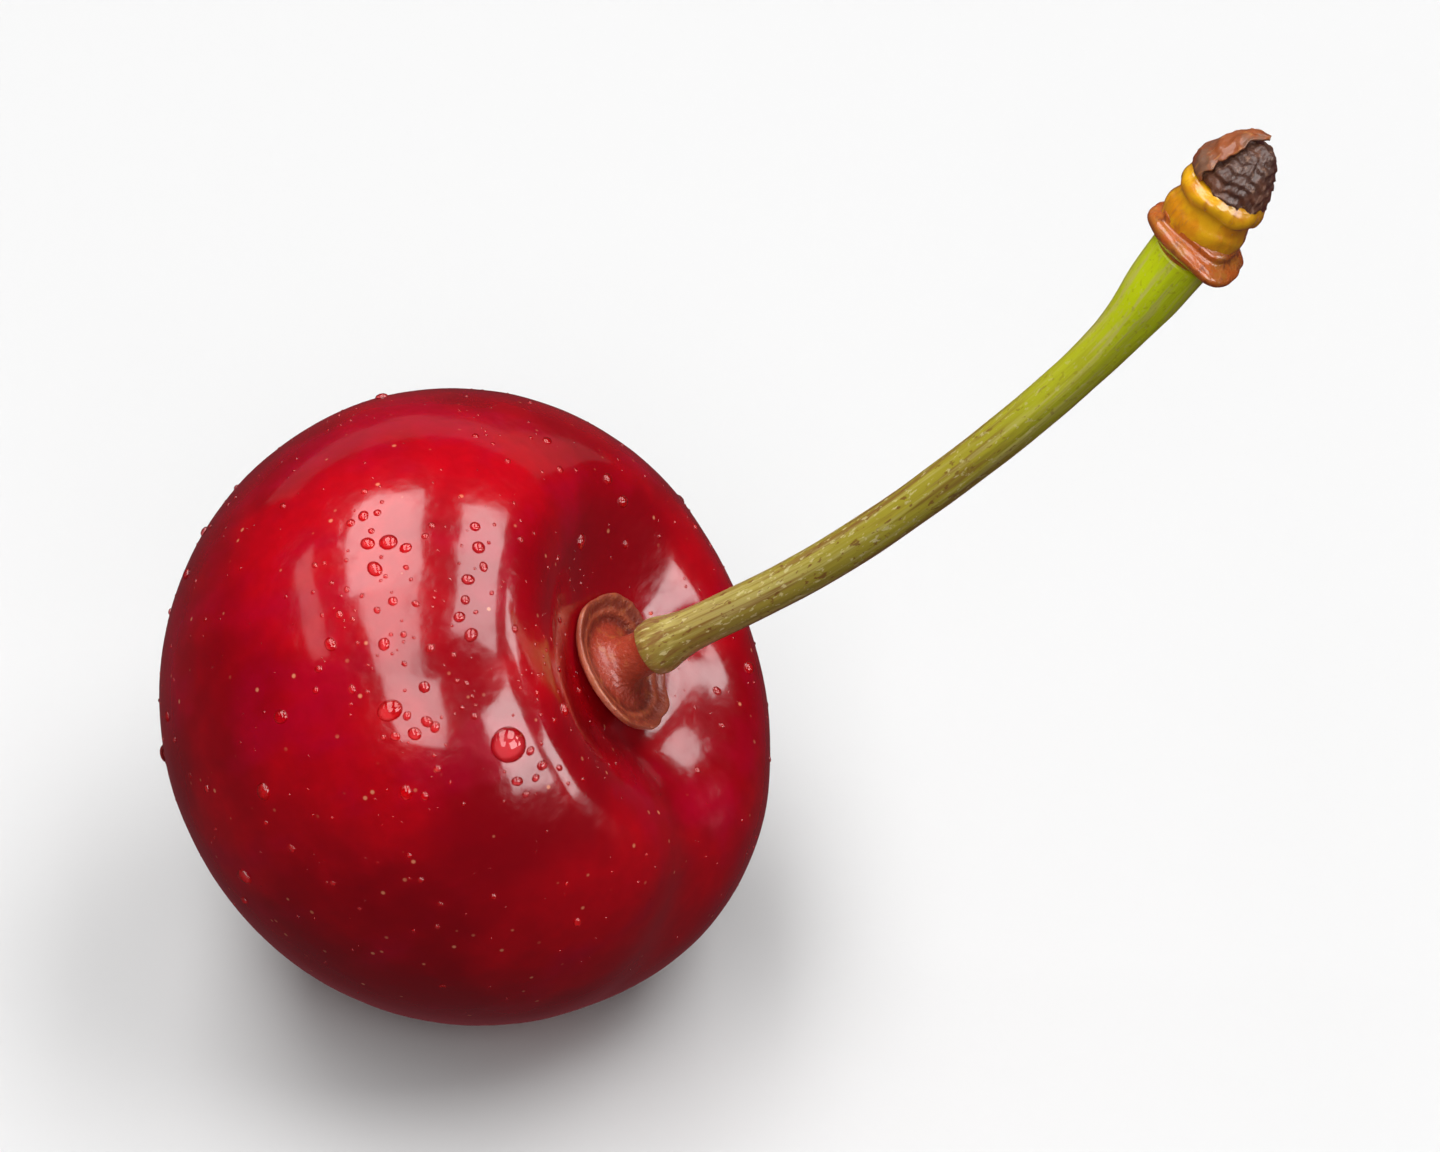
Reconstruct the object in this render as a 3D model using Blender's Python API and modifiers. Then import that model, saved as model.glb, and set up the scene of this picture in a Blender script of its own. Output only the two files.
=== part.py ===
"""A ripe sweet cherry on its stalk, lying on a flat surface.

The origin is on the surface, at the middle of the small flat where the fruit
rests. +Z is up and +X is the side that the stalk leans to. Units are metres.
"""
import math

import bmesh
import bpy
from mathutils import Matrix, Vector

# ---- driving dimensions ----

MM = 0.001
GAP = 0.2 * MM                      # kept between neighbouring pieces

# Fruit
FRUIT_RADIUS = 14.2 * MM            # at the equator
STEM_HEIGHT = 12.8 * MM             # centre to where the stem end would be with no cavity
APEX_HEIGHT = 13.2 * MM             # centre to the far end
FRUIT_CENTRE = Vector((-0.35, 0.15, 13.80)) * MM
STEM_AXIS = Vector((0.770, -0.259, 0.583))
SUTURE_SIDE = Vector((0.342, -0.604, -0.720))
CAVITY_DEPTH = 4.75 * MM            # below the plain ellipsoid
CAVITY_SPREAD = 6.5 * MM
CAVITY_POWER = 2.8
CAVITY_OFFSET = 0.7 * MM            # towards the suture
SUTURE_DEPTH = 0.80 * MM
SUTURE_WIDTH = 2.6 * MM
SUTURE_SHARE = 0.16                 # of its depth, away from the stem end
BACK_DEPTH = 0.35 * MM              # the shallower valley opposite the suture
BACK_WIDTH = 3.4 * MM
APEX_DIMPLE = 0.35 * MM
APEX_SPREAD = 2.4 * MM
# Broad swellings and flats of the skin: world direction, height, spread in radians
CHEEKS = (
    (Vector((0.77, -0.41, -0.49)), 0.55 * MM, 0.60),
    (Vector((0.82, 0.37, 0.44)), -0.25 * MM, 0.55),
    (Vector((-0.50, -0.45, 0.74)), 0.20 * MM, 0.70),
    (Vector((-0.24, 0.08, -0.97)), 0.30 * MM, 0.36),
)
FRUIT_SEGMENTS = 56
FRUIT_RINGS = 36

# Stalk: its route from the collar's neck to the knob, from the fruit's centre
STALK_ROUTE = [
    Vector(point) * MM
    for point in (
        (8.10, -2.74, 5.60),
        (15.70, -3.87, 11.57),
        (22.03, -4.36, 17.67),
        (27.39, -4.36, 23.74),
        (30.70, -3.98, 28.54),
    )
]
STALK_RADIUS = 0.93 * MM
STALK_FOOT_RADIUS = 1.28 * MM       # the lip where it leaves the collar
STALK_END_RADIUS = 1.45 * MM        # where it swells into the knob
STALK_LIP_SPREAD = 0.035            # of the stalk's length
STALK_SWELL_START = 0.62            # of the stalk's length
STALK_RINGS = 30
STALK_RING_CROWDING = 1.35          # above 1, the rings crowd towards the foot
KNOB_AXIS = Vector((0.473, 0.112, 0.874))

# Receptacle collar, from its underside
COLLAR_RADIUS = 3.25 * MM
COLLAR_THICKNESS = 0.45 * MM
COLLAR_RISE = 0.55 * MM             # the rim stands higher than the middle
COLLAR_LENGTH = 1.70 * MM           # underside to the neck's top
NECK_RADIUS = 0.95 * MM

# Knob, lengths along its own axis
RING_LENGTH = 1.25 * MM
RING_RADIUS = 2.25 * MM
SPUR_LENGTH = 2.00 * MM
SPUR_RADIUS = 1.88 * MM
CAP_LENGTH = 2.15 * MM
CAP_RADIUS = 1.72 * MM
SCALE_THICKNESS = 0.35 * MM
SCALE_ARC = math.radians(130)
SCALE_MIDDLE = math.radians(262)    # where the scale lies around the knob's axis
SCALE_OVERHANG = 0.45 * MM          # how far its point stands past the cap
ROUND_SEGMENTS = 28


# ---- helpers ----

def clear_scene():
    """Remove every object that is in the open scene."""
    for obj in list(bpy.data.objects):
        bpy.data.objects.remove(obj, do_unlink=True)


def new_material(name, colour, roughness):
    """A Principled material of one colour."""
    material = bpy.data.materials.new(name)
    material.use_nodes = True
    shader = material.node_tree.nodes["Principled BSDF"]
    shader.inputs["Base Color"].default_value = (*colour, 1.0)
    shader.inputs["Roughness"].default_value = roughness
    shader.inputs["Metallic"].default_value = 0.0
    material.diffuse_color = (*colour, 1.0)
    return material


def add_part(name, data, material, place=None):
    """Put a mesh or a curve in the cherry's collection as one named part."""
    obj = bpy.data.objects.new(name, data)
    bpy.data.collections["cherry"].objects.link(obj)
    data.materials.append(material)
    if place is not None:
        obj.matrix_world = place
    return obj


def frame_along(axis, side, origin):
    """A matrix whose Z runs along axis and whose Y leans towards side."""
    z = axis.normalized()
    y = (side - z * side.dot(z)).normalized()
    x = y.cross(z)
    matrix = Matrix((x, y, z)).transposed().to_4x4()
    matrix.translation = origin
    return matrix


def turned_mesh(name, profile):
    """A mesh of one profile at +X, for a Screw modifier: pairs of radius and height, top first."""
    mesh = bpy.data.meshes.new(name)
    points = [(radius, 0.0, height) for radius, height in profile]
    edges = [(i, i + 1) for i in range(len(points) - 1)]
    mesh.from_pydata(points, edges, [])
    return mesh


def add_turned(name, profile, material, place, segments=ROUND_SEGMENTS):
    """A turned part: its profile runs down the outer side, from the axis to the axis."""
    obj = add_part(name, turned_mesh(name, profile), material, place)
    screw = obj.modifiers.new("turn", "SCREW")
    screw.axis = "Z"
    screw.angle = math.tau
    screw.steps = segments
    screw.render_steps = segments
    screw.use_merge_vertices = True
    screw.merge_threshold = 0.01 * MM
    screw.use_smooth_shade = True
    return obj


def smoothstep(low, high, value):
    """0 below low, 1 above high and a smooth rise between them."""
    t = min(max((value - low) / (high - low), 0.0), 1.0)
    return t * t * (3.0 - 2.0 * t)


# ---- fruit ----

def skin_point(direction, cheeks):
    """The skin's point, in the fruit's own frame, for a unit direction from its centre."""
    height = STEM_HEIGHT if direction.z > 0 else APEX_HEIGHT
    swell = 0.0
    for cheek, rise, spread in cheeks:
        swell += rise * math.exp(-(direction.angle(cheek) / spread) ** 2)
    point = Vector((direction.x * FRUIT_RADIUS, direction.y * FRUIT_RADIUS, direction.z * height))
    point += direction * swell

    # The stalk cavity, and the dimple at the far end
    from_cavity = math.hypot(point.x, point.y - CAVITY_OFFSET)
    from_axis = math.hypot(point.x, point.y)
    if direction.z > 0:
        point.z -= CAVITY_DEPTH * math.exp(-(from_cavity / CAVITY_SPREAD) ** CAVITY_POWER)
    else:
        point.z += APEX_DIMPLE * math.exp(-(from_axis / APEX_SPREAD) ** 2)

    # The suture runs down the +Y side, deepest where it leaves the cavity, and a
    # shallow valley leaves the cavity on the other side
    near_stem = smoothstep(0.0, 0.75, direction.z)
    share = SUTURE_SHARE + (1.0 - SUTURE_SHARE) * near_stem
    suture = share * smoothstep(1.5 * MM, 5.0 * MM, point.y)
    groove = SUTURE_DEPTH * suture * math.exp(-(point.x / SUTURE_WIDTH) ** 2)
    back = smoothstep(1.5 * MM, 6.0 * MM, -point.y) * near_stem
    groove += BACK_DEPTH * back * math.exp(-(point.x / BACK_WIDTH) ** 2)
    return point - direction * groove


def add_fruit(material):
    """The fruit: a shaped sphere, tilted as it lies and flattened where it rests."""
    place = frame_along(STEM_AXIS, SUTURE_SIDE, FRUIT_CENTRE)
    to_own_frame = place.to_3x3().transposed()
    cheeks = [(to_own_frame @ cheek.normalized(), rise, spread) for cheek, rise, spread in CHEEKS]
    bm = bmesh.new()
    bmesh.ops.create_uvsphere(bm, u_segments=FRUIT_SEGMENTS, v_segments=FRUIT_RINGS, radius=1.0)
    for vertex in bm.verts:
        vertex.co = place @ skin_point(vertex.co.normalized(), cheeks)
    whole = bm.verts[:] + bm.edges[:] + bm.faces[:]
    cut = bmesh.ops.bisect_plane(bm, geom=whole, dist=0.001 * MM, plane_co=(0, 0, 0),
                                 plane_no=(0, 0, 1), clear_inner=True)
    rim = [item for item in cut["geom_cut"] if isinstance(item, bmesh.types.BMEdge)]
    for edge in rim:
        for vertex in edge.verts:
            vertex.co.z = 0.0
    bmesh.ops.contextual_create(bm, geom=rim)
    bmesh.ops.recalc_face_normals(bm, faces=bm.faces)
    mesh = bpy.data.meshes.new("fruit")
    bm.to_mesh(mesh)
    bm.free()
    mesh.shade_smooth()
    return add_part("fruit", mesh, material)


# ---- stalk and collar ----

def route_point(t):
    """A point of the stalk's centre line, from 0 at the neck to 1 at the knob."""
    points = [FRUIT_CENTRE + point for point in STALK_ROUTE]
    before = points[0] * 2 - points[1]
    after = points[-1] * 2 - points[-2]
    padded = [before] + points + [after]
    scaled = t * (len(points) - 1)
    span = min(int(scaled), len(points) - 2)
    u = scaled - span
    a, b, c, d = padded[span:span + 4]
    smooth = b * 2 + (c - a) * u
    smooth += (a * 2 - b * 5 + c * 4 - d) * u ** 2
    smooth += (b * 3 - a - c * 3 + d) * u ** 3
    return smooth * 0.5


def stalk_radius(t):
    """The stalk's radius: a lip at its foot, slender along it, and swelling to the knob."""
    lip = (STALK_FOOT_RADIUS - STALK_RADIUS) * math.exp(-(t / STALK_LIP_SPREAD) ** 2)
    swell = (STALK_END_RADIUS - STALK_RADIUS) * smoothstep(STALK_SWELL_START, 1.0, t) ** 1.6
    return STALK_RADIUS + lip + swell


def add_stalk(material):
    """The stalk: one tube along its route, thicker at both ends."""
    curve = bpy.data.curves.new("stalk", "CURVE")
    curve.dimensions = "3D"
    curve.bevel_depth = 1.0
    curve.bevel_resolution = 3
    curve.use_fill_caps = True
    spline = curve.splines.new("POLY")
    spline.points.add(STALK_RINGS - 1)
    for i, point in enumerate(spline.points):
        t = (i / (STALK_RINGS - 1)) ** STALK_RING_CROWDING
        point.co = (*route_point(t), 1.0)
        point.radius = stalk_radius(t)
    return add_part("stalk", curve, material)


def add_collar(material):
    """The receptacle collar: a thin saucer with a neck, on the cavity's floor."""
    foot = route_point(0.0)
    axis = (route_point(0.05) - foot).normalized()
    base = foot - axis * (COLLAR_LENGTH + GAP)
    top = COLLAR_THICKNESS
    profile = [
        (0.0, COLLAR_LENGTH),
        (NECK_RADIUS, COLLAR_LENGTH),
        (NECK_RADIUS * 0.92, COLLAR_LENGTH * 0.70),
        (NECK_RADIUS * 1.10, COLLAR_LENGTH * 0.42),
        (NECK_RADIUS * 1.60, top + 0.12 * MM),
        (COLLAR_RADIUS * 0.66, top),
        (COLLAR_RADIUS * 0.84, top + COLLAR_RISE * 0.65),
        (COLLAR_RADIUS * 0.95, top + COLLAR_RISE),
        (COLLAR_RADIUS, top + COLLAR_RISE * 0.80),
        (COLLAR_RADIUS * 0.96, COLLAR_RISE),
        (COLLAR_RADIUS * 0.80, COLLAR_RISE * 0.45),
        (COLLAR_RADIUS * 0.45, 0.0),
        (0.0, 0.0),
    ]
    place = frame_along(axis, SUTURE_SIDE, base)
    return add_turned("receptacle_collar", profile, material, place, segments=40)


# ---- knob ----

def knob_place(distance):
    """The knob's frame, at a distance along its axis from the stalk's end."""
    start = route_point(1.0)
    return frame_along(KNOB_AXIS, SUTURE_SIDE, start + KNOB_AXIS.normalized() * distance)


def add_ring(material, start):
    """The red-brown abscission ring, with a rounded rim."""
    profile = [
        (0.0, RING_LENGTH),
        (RING_RADIUS * 0.78, RING_LENGTH),
        (RING_RADIUS * 0.93, RING_LENGTH * 0.85),
        (RING_RADIUS, RING_LENGTH * 0.58),
        (RING_RADIUS * 0.97, RING_LENGTH * 0.32),
        (RING_RADIUS * 0.84, RING_LENGTH * 0.10),
        (RING_RADIUS * 0.62, 0.0),
        (0.0, 0.0),
    ]
    return add_turned("abscission_ring", profile, material, knob_place(start))


def add_spur_knob(material, start):
    """The yellow swollen base, with a waist and a second ring at its top."""
    profile = [
        (0.0, SPUR_LENGTH),
        (SPUR_RADIUS * 0.86, SPUR_LENGTH),
        (SPUR_RADIUS * 1.02, SPUR_LENGTH * 0.88),
        (SPUR_RADIUS * 1.04, SPUR_LENGTH * 0.74),
        (SPUR_RADIUS * 0.93, SPUR_LENGTH * 0.58),
        (SPUR_RADIUS * 0.95, SPUR_LENGTH * 0.36),
        (SPUR_RADIUS, SPUR_LENGTH * 0.18),
        (SPUR_RADIUS * 0.90, 0.0),
        (0.0, 0.0),
    ]
    return add_turned("spur_knob", profile, material, knob_place(start))


def cap_profile(grow):
    """Radius and height along the cap's outer side, top first, grown outwards by grow."""
    steps = 7
    profile = []
    for i in range(1, steps + 1):
        angle = math.radians(90) * i / steps
        radius = CAP_RADIUS * math.sin(angle) ** 0.8 + grow
        height = CAP_LENGTH * (0.42 + 0.58 * math.cos(angle) ** 0.9) + grow
        profile.append((radius, height))
    profile.append((CAP_RADIUS * 0.94 + grow, 0.0))
    return profile


def add_corky_cap(material, start):
    """The dark dry scar tissue: a blunt round-topped stub."""
    profile = [(0.0, CAP_LENGTH)] + cap_profile(0.0) + [(0.0, 0.0)]
    return add_turned("corky_cap", profile, material, knob_place(start))


def add_bud_scale(material, start):
    """A dry scale that wraps one side of the cap and ends in a point past its top."""
    bm = bmesh.new()
    outline = cap_profile(GAP)
    outline[-1] = (outline[-1][0], GAP)
    outline = [(0.25 * MM, CAP_LENGTH + SCALE_OVERHANG)] + outline
    verts = [bm.verts.new((radius, 0.0, height)) for radius, height in outline]
    edges = [bm.edges.new(pair) for pair in zip(verts, verts[1:])]
    turn = Matrix.Rotation(SCALE_MIDDLE - SCALE_ARC / 2, 3, "Z")
    bmesh.ops.rotate(bm, verts=bm.verts[:], cent=(0, 0, 0), matrix=turn)
    bmesh.ops.spin(bm, geom=verts + edges, cent=(0, 0, 0), axis=(0, 0, 1), angle=SCALE_ARC, steps=10)
    bmesh.ops.recalc_face_normals(bm, faces=bm.faces)
    if sum(face.normal.dot(face.calc_center_median()) for face in bm.faces) < 0:
        bmesh.ops.reverse_faces(bm, faces=bm.faces)
    mesh = bpy.data.meshes.new("bud_scale")
    bm.to_mesh(mesh)
    bm.free()
    mesh.shade_smooth()
    obj = add_part("bud_scale", mesh, material, knob_place(start))
    shell = obj.modifiers.new("thickness", "SOLIDIFY")
    shell.thickness = SCALE_THICKNESS
    shell.offset = 1.0
    shell.use_even_offset = False
    return obj


# ---- the whole cherry ----

def main():
    clear_scene()
    collection = bpy.data.collections.new("cherry")
    bpy.context.scene.collection.children.link(collection)

    add_fruit(new_material("red_skin", (0.50, 0.006, 0.012), 0.18))
    add_collar(new_material("collar_tan", (0.36, 0.12, 0.045), 0.45))
    add_stalk(new_material("stalk_green", (0.30, 0.36, 0.035), 0.45))

    ring_start = GAP
    spur_start = ring_start + RING_LENGTH + GAP
    cap_start = spur_start + SPUR_LENGTH + GAP
    add_ring(new_material("ring_rust", (0.42, 0.12, 0.02), 0.5), ring_start)
    add_spur_knob(new_material("knob_amber", (0.72, 0.36, 0.03), 0.5), spur_start)
    add_corky_cap(new_material("cork_brown", (0.09, 0.045, 0.03), 0.85), cap_start)
    add_bud_scale(new_material("scale_copper", (0.40, 0.16, 0.06), 0.55), cap_start)


main()
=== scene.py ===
"""Looks of a sweet cherry on its stalk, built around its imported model, in metres with +Z up."""
import math
import random

import bmesh
import bpy
from bpy.props import FloatProperty, FloatVectorProperty, IntProperty, PointerProperty
from bpy.types import Operator, Panel, PropertyGroup
from mathutils import Matrix, Vector, noise
from mathutils.bvhtree import BVHTree


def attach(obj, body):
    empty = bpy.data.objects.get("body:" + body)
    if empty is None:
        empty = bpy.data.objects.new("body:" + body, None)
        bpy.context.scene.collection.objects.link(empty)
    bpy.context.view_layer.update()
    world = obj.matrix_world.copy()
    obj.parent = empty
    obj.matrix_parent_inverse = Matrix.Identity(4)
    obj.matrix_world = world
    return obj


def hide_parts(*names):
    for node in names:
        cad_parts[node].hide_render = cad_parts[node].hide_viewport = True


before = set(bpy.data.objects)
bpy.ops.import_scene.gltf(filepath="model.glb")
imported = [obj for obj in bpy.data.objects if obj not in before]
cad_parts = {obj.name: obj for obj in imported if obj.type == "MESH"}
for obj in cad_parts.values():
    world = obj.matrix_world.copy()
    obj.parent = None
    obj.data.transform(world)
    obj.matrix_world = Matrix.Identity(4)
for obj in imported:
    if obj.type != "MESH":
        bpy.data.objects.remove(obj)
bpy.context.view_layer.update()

bl_info = {
    "name": "Cherry on its stalk",
    "version": (1, 0, 0),
    "blender": (4, 5, 0),
    "location": "3D View > Sidebar > Cherry",
    "description": "Builds a wet ripe cherry with its collar, stalk, knob and water drops",
    "category": "Add Mesh",
}

MM = 0.001

# The fruit's own frame: +Z to the stalk, +Y to the suture
STEM_AXIS = Vector((0.770, -0.259, 0.583))
SUTURE_SIDE = Vector((0.342, -0.604, -0.720))
FRUIT_CENTRE = Vector((-0.35, 0.15, 13.80)) * MM
# Broad swellings and flats of the skin: world direction, height, spread in radians
CHEEKS = (
    (Vector((0.77, -0.41, -0.49)), 0.55 * MM, 0.60),
    (Vector((0.82, 0.37, 0.44)), -0.25 * MM, 0.55),
    (Vector((-0.50, -0.45, 0.74)), 0.20 * MM, 0.70),
    (Vector((-0.24, 0.08, -0.97)), 0.30 * MM, 0.36),
)

# The cavity's middle lies a little towards the suture, and its wall is steeper than a bell
CAVITY_SHIFT = 0.7 * MM
CAVITY_STEEPNESS = 2.8
DIMPLE_DEPTH, DIMPLE_SPREAD = 0.35 * MM, 2.4 * MM       # at the far end
SUTURE_SPREAD = 2.6 * MM
SUTURE_LEAST = 0.16                                     # its share of depth far from the cavity
VALLEY_DEPTH, VALLEY_SPREAD = 0.35 * MM, 3.4 * MM       # opposite the suture
SCAR_HEIGHT = -12.9                                     # millimetres, in the fruit's own frame

# The stalk's route from the fruit's centre, and the knob's direction at its end
STALK_ROUTE = [
    Vector(point) * MM
    for point in (
        (8.10, -2.74, 5.60),
        (15.70, -3.87, 11.57),
        (22.03, -4.36, 17.67),
        (27.39, -4.36, 23.74),
        (30.70, -3.98, 28.54),
    )
]
KNOB_AXIS = Vector((0.473, 0.112, 0.874)).normalized()
STALK_RUN = 34.0                                        # millimetres over which its colour turns
LIP_SPREAD = 0.035                                      # share of its length that its lip takes
SWELL_START = 0.62                                      # share of its length where its end swells

# The collar's floor below the stalk's foot, and the side where its rim curls up
COLLAR_SINK = 2.45 * MM
COLLAR_CURL, COLLAR_CURL_SIDE = 0.40, math.radians(-122)
COLLAR_REACH = 3.3                                      # millimetres that its colour bands span

# Where the knob's parts start past the stalk's end, and how they lie around its axis
RING_START, SPUR_START, CAP_START = 0.20 * MM, 1.65 * MM, 3.70 * MM
CAP_LEAN = 0.20
CAP_LENGTH = 2.45 * MM
LOBE_SIDE, SMALL_LOBE_SIDE = math.radians(62), math.radians(-100)
LOBE_DROP = 0.34
SCALE_SIDE, SCALE_ARC = math.radians(281), math.radians(136)
SCALE_OVERHANG, SCALE_GAP, SCALE_THICKNESS = 0.36 * MM, 0.15 * MM, 0.14 * MM

# Where the camera stands: it looks along +Y and down
CAMERA_ELEVATION = math.radians(40)
CAMERA_DISTANCE = 443 * MM
CAMERA_LENS = 250.0                                     # focal length in millimetres
CAMERA_AIM = Vector((11.12, 3.68, 4.38)) * MM           # from the fruit's centre

# The floor turns from its own colour to the backdrop's white between these distances
BACKDROP_WHITE = 0.95
FADE_START, FADE_END = 0.06, 0.65
FLOOR_RADIUS = 3.0
# What polished surfaces see of the room: its strength from below to above, and its colour
GLOSSY_ROOM = {"From Min": -0.3, "From Max": 0.2, "To Min": 0.13, "To Max": 0.06}
GLOSSY_TINT = (1.0, 0.22, 0.26)


# ---- settings ----

def length_prop(name, description, millimetres):
    """A length that a user may change, given in millimetres."""
    return FloatProperty(name=name, description=description, default=millimetres * MM,
                         unit="LENGTH")


def colour_prop(name, description, colour):
    """A colour that a user may change."""
    return FloatVectorProperty(name=name, description=description, default=colour,
                               subtype="COLOR", min=0, max=1)


class FruitSettings(PropertyGroup):
    """Sizes and colours of the fruit."""
    radius: length_prop("Radius", "Radius at the equator", 14.2)
    stem_height: length_prop("Stem height", "Centre to the stem end, cavity filled", 12.8)
    apex_height: length_prop("Apex height", "Centre to the far end", 13.2)
    cavity_depth: length_prop("Cavity depth", "Depth of the stalk cavity", 4.75)
    cavity_spread: length_prop("Cavity spread", "Radius of the stalk cavity", 6.5)
    suture_depth: length_prop("Suture depth", "Depth of the suture at the cavity", 0.80)
    bright: colour_prop("Bright skin", "Colour of the ripest-lit skin", (0.60, 0.0012, 0.0085))
    deep: colour_prop("Deep skin", "Colour of the darker patches", (0.33, 0.0006, 0.006))
    # Crimson patches are partly the skin's own bluer tone and partly a painted magenta sheen
    # standing for reflections
    crimson: colour_prop("Crimson skin", "Colour of the bluer patches", (0.50, 0.0008, 0.024))
    around: IntProperty(name="Segments", description="Faces around the fruit", default=240, min=24)
    rings: IntProperty(name="Rings", description="Faces from end to end", default=160, min=16)


class StalkSettings(PropertyGroup):
    """Sizes and colours of the stalk and its collar."""
    radius: length_prop("Radius", "Radius half way along", 0.93)
    foot_radius: length_prop("Foot radius", "Radius of the lip at the collar", 1.28)
    end_radius: length_prop("End radius", "Radius where it meets the knob", 1.45)
    collar_radius: length_prop("Collar radius", "Radius of the saucer", 3.1525)
    lime: colour_prop("Lime", "Colour near the knob", (0.72, 0.84, 0.008))
    olive: colour_prop("Olive", "Colour near the fruit", (0.38, 0.29, 0.055))


class KnobSettings(PropertyGroup):
    """Sizes and colours of the knob at the stalk's end."""
    ring_radius: length_prop("Ring radius", "Radius of the rust-brown ring", 2.25)
    spur_radius: length_prop("Spur radius", "Radius of the amber part", 1.88)
    cap_radius: length_prop("Cap radius", "Radius of the dark cap", 1.72)
    rust: colour_prop("Rust", "Colour of the ring", (0.62, 0.14, 0.020))
    amber: colour_prop("Amber", "Colour of the swollen part", (1.0, 0.49, 0.010))
    cork: colour_prop("Cork", "Colour of the dry cap", (0.10, 0.040, 0.024))


class WaterSettings(PropertyGroup):
    """How wet the fruit is."""
    beads: IntProperty(name="Beads", description="Scattered beads of middle size",
                       default=70, min=0)
    specks: IntProperty(name="Specks", description="Scattered fine specks", default=420, min=0)
    mist: IntProperty(name="Mist", description="Small beads gathered on the upper side",
                      default=110, min=0)
    seed: IntProperty(name="Seed", description="Seed of the scatter", default=11)


class StageSettings(PropertyGroup):
    """Floor and light."""
    radiance: FloatProperty(name="Lamp radiance", description="Brightness of the strip lamps",
                            default=3.55, min=0)
    ambient: FloatProperty(name="Ambient", description="Brightness of the room",
                           default=0.07, min=0)
    floor: colour_prop("Floor", "Colour of the floor", (0.79, 0.79, 0.79))


class CherrySettings(PropertyGroup):
    """Everything a user would change."""
    fruit: PointerProperty(type=FruitSettings)
    stalk: PointerProperty(type=StalkSettings)
    knob: PointerProperty(type=KnobSettings)
    water: PointerProperty(type=WaterSettings)
    stage: PointerProperty(type=StageSettings)


# ---- shape helpers ----

def smoothstep(low, high, value):
    """0 below low, 1 above high and a smooth rise between them."""
    t = min(max((value - low) / (high - low), 0.0), 1.0)
    return t * t * (3.0 - 2.0 * t)


def bell(value, width):
    """1 at zero, falling smoothly to nothing past about twice the width."""
    return math.exp(-(value / width) ** 2)


def angle_from(angle, middle):
    """The angle from middle, between minus and plus half a turn."""
    return (angle - middle + math.pi) % math.tau - math.pi


def frame_along(axis, side, origin):
    """A matrix whose Z runs along axis and whose Y leans towards side."""
    z = axis.normalized()
    y = (side - z * side.dot(z)).normalized()
    x = y.cross(z)
    matrix = Matrix((x, y, z)).transposed().to_4x4()
    matrix.translation = origin
    return matrix


def write_own(bm):
    """Keep each point's place in the piece's own frame, in millimetres, for its pattern."""
    layer = bm.verts.layers.float_vector.new("own")
    for vertex in bm.verts:
        vertex[layer] = vertex.co / MM


def finish_piece(bm, name, material, stands_for=None):
    """Turn a bmesh into a named piece that rides on the cherry's body."""
    mesh = bpy.data.meshes.new(name)
    bm.to_mesh(mesh)
    bm.free()
    mesh.shade_smooth()
    mesh.materials.append(material)
    piece = bpy.data.objects.new(name, mesh)
    bpy.context.scene.collection.objects.link(piece)
    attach(piece, "root")
    if stands_for:
        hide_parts(stands_for)
    return piece


def spun(profile, steps):
    """A closed bmesh turned about Z from pairs of radius and height, top first."""
    bm = bmesh.new()
    verts = [bm.verts.new((radius, 0.0, height)) for radius, height in profile]
    edges = [bm.edges.new(pair) for pair in zip(verts, verts[1:])]
    bmesh.ops.spin(bm, geom=verts + edges, cent=(0, 0, 0), axis=(0, 0, 1),
                   angle=math.tau, steps=steps, use_merge=True)
    bmesh.ops.remove_doubles(bm, verts=bm.verts, dist=0.001 * MM)
    bmesh.ops.recalc_face_normals(bm, faces=bm.faces)
    return bm


def smooth_profile(points, cuts):
    """The same profile with cuts points between each two, on a smooth curve through them."""
    pairs = [Vector(point) for point in points]
    padded = [pairs[0] * 2 - pairs[1]] + pairs + [pairs[-1] * 2 - pairs[-2]]
    rounded = []
    for i in range(len(pairs) - 1):
        for k in range(cuts + 1):
            rounded.append(curve_through(padded[i:i + 4], k / (cuts + 1)))
    rounded.append(pairs[-1])
    return [(max(point[0], 0.0), point[1]) for point in rounded]


def curve_through(four, u):
    """A point between the middle two of four, on a smooth curve through all of them."""
    a, b, c, d = four
    point = b * 2 + (c - a) * u
    point += (a * 2 - b * 5 + c * 4 - d) * u ** 2
    point += (b * 3 - a - c * 3 + d) * u ** 3
    return point * 0.5


def reshape(bm, move):
    """Move each point by a rule that takes its radius, angle and height."""
    for vertex in bm.verts:
        x, y, z = vertex.co
        radius, angle = math.hypot(x, y), math.atan2(y, x)
        radius, angle, z = move(radius, angle, z)
        vertex.co = (radius * math.cos(angle), radius * math.sin(angle), z)


# ---- material helpers ----

def new_material(name, **constants):
    """A Principled material with constant values on its own sockets."""
    material = bpy.data.materials.new(name)
    material.use_nodes = True
    shader = material.node_tree.nodes["Principled BSDF"]
    for socket, value in constants.items():
        shader.inputs[socket.replace("_", " ")].default_value = value
    return material


def add_node(material, kind, inputs, **settings):
    """A node with its settings, its values and the sockets that feed it."""
    tree = material.node_tree
    made = tree.nodes.new(kind)
    for key, value in settings.items():
        setattr(made, key, value)
    for socket, value in inputs.items():
        if isinstance(value, bpy.types.NodeSocket):
            tree.links.new(value, made.inputs[socket])
        else:
            made.inputs[socket].default_value = value
    return made


def shader_of(material):
    return material.node_tree.nodes["Principled BSDF"]


def own_place(material):
    """The point's place in the piece's own frame, in millimetres."""
    return add_node(material, "ShaderNodeAttribute", {}, attribute_name="own").outputs["Vector"]


def stretched(material, place, scale):
    """A place scaled by three factors."""
    made = add_node(material, "ShaderNodeMapping", {"Vector": place, "Scale": scale})
    return made.outputs["Vector"]


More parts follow.
